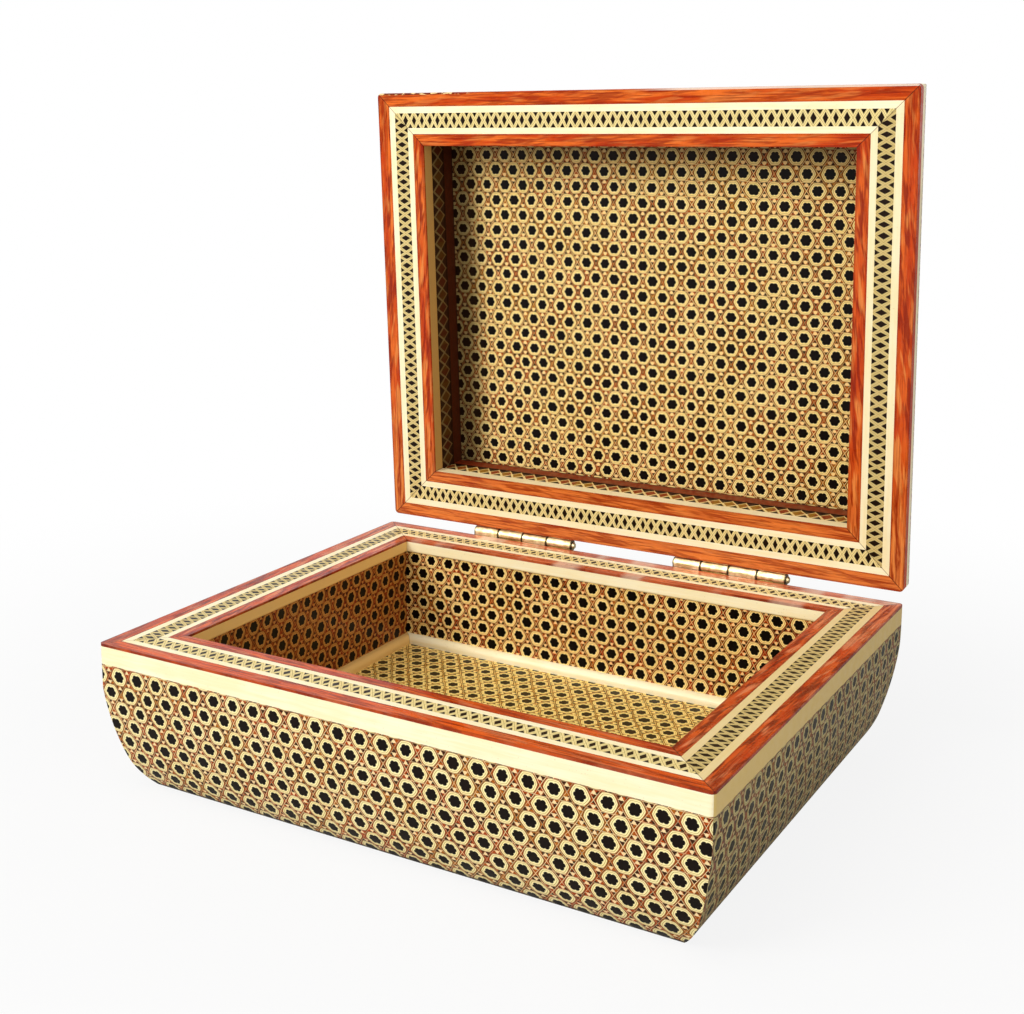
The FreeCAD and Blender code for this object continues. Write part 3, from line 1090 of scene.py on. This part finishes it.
@dataclass
class Base(Dressed):
    """The box's lower half."""

    def dress(self) -> None:
        """Puts a material on every node of the base."""
        p, body = self.painter, Owner.BASE
        self.rim()
        starts = {"front": (86.86, 9.6), "back": (0.0, 9.6), "left": (-74.0, 9.6), "right": (-74.0, 9.6)}
        # The right veneer gets painted shade: a darkening tint and a dull olive-grey painted reflection.
        painted_light_colour = srgb(78, 74, 56)
        for side, start in starts.items():
            painted_light_veil, tint = (0.4, (0.72, 0.69, 0.57)) if side == "right" else (0.0, CLEAR)
            veneer = p.inlay("base veneer " + side, body, Form.BASE_CURVE, start, 0.04, painted_light_veil, painted_light_colour, tint)
            self.paint(veneer, "base_veneer_" + side)
        inner = {"front": (0.0, 7.0), "back": (64.11, 7.1), "left": (22.93, 7.3), "right": (22.93, 7.3)}
        for side, start in inner.items():
            # The left lining's dark red-brown tint is painted shade.
            tint, depth = ((0.53, 0.27, 0.12), 1.0) if side == "left" else ((1.02, 0.93, 0.84), 1.25)
            look = {"tint": tint, "depth": depth, "net": 1.05}
            lining = p.inlay("base lining " + side, body, Form.WALL, start, 0.06, **look)
            self.paint(lining, "base_lining_" + side)
        honeyed = {"tint": (1.06, 1.02, 1.0), "depth": 1.12, "net": 1.3}
        # The floor's small veil, in the default pale gold, is a painted sheen on its dark pieces.
        self.paint(p.inlay("floor", body, Form.FLAT, (24.6, 55.7), 0.8, 0.05, **honeyed), "floor_panel")
        self.paint(p.bone("base band", body, Form.WALL, mitre=0.0, right_shade=0.9), "base_band")
        inside = p.bone("base inner bone", body, Form.WALL, mitre=0.3, left_shade=0.9)
        self.paint(inside, "base_inner_band", "base_skirting")
        walls = ["base_wall_" + side for side in SIDES]
        self.paint(p.board("carcase", body, CARCASE_WOOD), *walls, "bottom_board")
        for side, start in HINGE_STARTS.items():
            self.paint(p.brass("base leaf " + side, body, start), f"hinge_{side}_base_leaf")
            self.paint(p.brass("pin " + side, body, start + KNUCKLE_PITCH / 2, 0.3), f"hinge_{side}_pin")
        self.paint(p.brass("base screws", body, SCREW_START, 0.2), "base_hinge_screws")


@dataclass
class Lid(Dressed):
    """The hinged lid."""

    def dress(self) -> None:
        """Puts a material on every node of the lid."""
        p, body = self.painter, Owner.LID
        self.rim()
        for side in SIDES:
            start = (0.0, 9.0) if side in ("front", "back") else (3.0, 9.0)
            self.paint(p.inlay("lid veneer " + side, body, Form.LID_CURVE, start), "lid_veneer_" + side)
        warmed = {"tint": (1.04, 1.0, 0.95), "depth": 1.15, "net": 1.3}
        self.paint(p.inlay("ceiling", body, Form.FLAT, (-2.15, -40.6), 0.2, **warmed), "lid_ceiling_panel")
        self.paint(p.inlay("top panel", body, Form.FLAT, (0.0, 0.0), gold=0.1), "lid_top_panel")
        self.paint(p.bone("lid band", body, Form.WALL, mitre=0.0, wood_edge=3.0), "lid_band")
        inside = p.bone("lid inner bone", body, Form.WALL, olive_shade=0.3, left_shade=1.0, left_shade_colour=srgb(190, 150, 86))
        self.paint(inside, "lid_inner_band")
        self.paint(p.zigzag("lid zigzag", body), "lid_lining")
        self.paint(p.zigzag("lid bead", body), "lid_inner_bead")
        self.paint(p.strip("lid top strip", body, LID_WOOD, 6.0), "lid_top_strip")
        self.paint(p.bone("lid top line", body), "lid_top_line")
        walls = ["lid_wall_" + side for side in SIDES]
        self.paint(p.board("lid carcase", body, CARCASE_WOOD), *walls, "lid_top_board")
        for side, start in HINGE_STARTS.items():
            self.paint(p.brass("lid leaf " + side, body, start), f"hinge_{side}_lid_leaf")
        self.paint(p.brass("lid screws", body, SCREW_START, 0.2), "lid_hinge_screws")


@dataclass
class Studio:
    """Camera, lamps, floor and surroundings."""

    focal: float = 1518.0
    centre: Tuple[float, float] = (412.0, 387.0)
    place: Triple = (0.22310, -0.40384, 0.20763)
    azimuth: float = -32.81
    elevation: float = -10.26
    roll: float = -0.60
    ambient: float = 0.3

    def camera(self) -> None:
        """Sets the camera at the photograph's viewing angle."""
        data = bpy.data.cameras.new("camera")
        data.sensor_width = 36.0
        data.lens = self.focal / IMAGE_WIDTH * data.sensor_width
        data.shift_x = (IMAGE_WIDTH / 2 - self.centre[0]) / IMAGE_WIDTH
        data.shift_y = -(IMAGE_HEIGHT / 2 - self.centre[1]) / IMAGE_WIDTH
        data.clip_start, data.clip_end = 0.01, 20.0
        made = bpy.data.objects.new("camera", data)
        bpy.context.scene.collection.objects.link(made)
        azimuth, elevation, roll = map(math.radians, (self.azimuth, self.elevation, self.roll))
        flat = math.cos(elevation)
        ahead = Vector((math.sin(azimuth) * flat, math.cos(azimuth) * flat, math.sin(elevation)))
        level = Vector((math.cos(azimuth), -math.sin(azimuth), 0.0))
        up = level.cross(ahead)
        right = level * math.cos(roll) + up * math.sin(roll)
        top = up * math.cos(roll) - level * math.sin(roll)
        matrix = Matrix((right, top, -ahead)).transposed().to_4x4()
        matrix.translation = Vector(self.place)
        made.matrix_world = matrix
        bpy.context.scene.camera = made

    def lamp(self, name: str, place: Triple, size: float, power: float, colour: Triple) -> None:
        """Adds a soft square lamp that looks at the box.

        Args:
            name: Its name.
            place: Where it hangs, in metres.
            size: Its side, in metres.
            power: Its power, in watts.
            colour: Its colour.
        """
        data = bpy.data.lights.new(name, "AREA")
        data.shape = "SQUARE"
        data.size = size
        data.energy = power
        data.color = colour
        made = bpy.data.objects.new(name, data)
        made.location = place
        made.rotation_euler = (Vector((0.0, 0.0, 0.06)) - Vector(place)).to_track_quat("-Z", "Y").to_euler()
        bpy.context.scene.collection.objects.link(made)

    def world(self) -> None:
        """Gives soft light all round and a white background."""
        made = bpy.data.worlds.new("studio")
        made.use_nodes = True
        g = Graph(made.node_tree)
        made.node_tree.nodes.clear()
        seen = g.node("ShaderNodeLightPath")
        shown = g.most(seen.outputs["Is Camera Ray"], seen.outputs["Is Transmission Ray"])
        shown = g.most(shown, seen.outputs["Is Glossy Ray"])
        sky = (0.96, 0.98, 1.0, 1.0)
        soft = g.fill(g.node("ShaderNodeBackground"), {"Color": sky, "Strength": self.ambient})
        white = g.fill(g.node("ShaderNodeBackground"), {"Color": WHITE, "Strength": 1.0})
        both = g.node("ShaderNodeMixShader")
        g.feed(both.inputs[0], shown)
        g.feed(both.inputs[1], soft.outputs[0])
        g.feed(both.inputs[2], white.outputs[0])
        out = g.node("ShaderNodeOutputWorld")
        g.feed(out.inputs["Surface"], both.outputs[0])
        bpy.context.scene.world = made

    def floor(self) -> None:
        """Lays a pale floor that fades into the white background."""
        mesh = bpy.data.meshes.new("floor")
        corners = 64
        radius = 4.0
        points = [
            (radius * math.cos(math.tau * i / corners), radius * math.sin(math.tau * i / corners), -0.0004)
            for i in range(corners)
        ]
        mesh.from_pydata(points, [], [list(range(corners))])
        made = bpy.data.objects.new("floor", mesh)
        bpy.context.scene.collection.objects.link(made)
        material = bpy.data.materials.new("pale floor")
        material.use_nodes = True
        g = Graph(material.node_tree)
        shader = material.node_tree.nodes["Principled BSDF"]
        where = g.node("ShaderNodeTexCoord").outputs["Object"]
        shader.inputs["Roughness"].default_value = 0.9
        shader.inputs["Specular IOR Level"].default_value = 0.1
        pale = g.mix(g.noise(where, 9.0, 3.0), srgb(206, 206, 206), srgb(214, 214, 214))
        g.feed(shader.inputs["Base Color"], pale)
        glow = g.fill(g.node("ShaderNodeEmission"), {"Color": WHITE, "Strength": 1.0})
        x, y, _ = g.split(where)
        away = g.math("SQRT", g.plus(g.times(x, x), g.times(y, y)))
        fade = g.ramp(away, 0.10, 0.40, 0.87, 1.0)
        seen = g.node("ShaderNodeLightPath")
        both = g.node("ShaderNodeMixShader")
        g.feed(both.inputs[0], g.times(fade, seen.outputs["Is Camera Ray"]))
        g.feed(both.inputs[1], shader.outputs[0])
        g.feed(both.inputs[2], glow.outputs[0])
        g.feed(material.node_tree.nodes["Material Output"].inputs["Surface"], both.outputs[0])
        mesh.materials.append(material)

    def build(self) -> None:
        """Sets up the whole studio."""
        self.camera()
        self.world()
        self.floor()
        self.lamp("key", (-0.62, -1.15, 0.9), 0.7, 17.2, (1.0, 0.98, 0.94))
        self.lamp("top", (-0.15, -0.35, 1.3), 0.6, 5.0, (1.0, 0.99, 0.97))
        self.lamp("fill", (1.0, -0.45, 0.45), 0.6, 3.4, (1.0, 0.97, 0.92))
        bpy.context.scene.view_settings.view_transform = "Standard"


def check_dressed(bodies: Sequence[Dressed]) -> None:
    """Logs CAD nodes that got no material.

    Args:
        bodies: The dressed bodies.
    """
    done = {name for body in bodies for name in body.used}
    missing = sorted(set(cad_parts) - done)
    if missing:
        LOG.error("nodes without a material: %s", missing)
    else:
        LOG.info("all %d nodes dressed", len(done))


def main() -> None:
    """Dresses the box and lights it."""
    logging.basicConfig(level=logging.INFO)
    painter = Painter(Library())
    bodies = [Base(painter, Owner.BASE), Lid(painter, Owner.LID)]
    for body in bodies:
        body.dress()
    check_dressed(bodies)
    Studio().build()


if __name__ == "__main__":
    main()
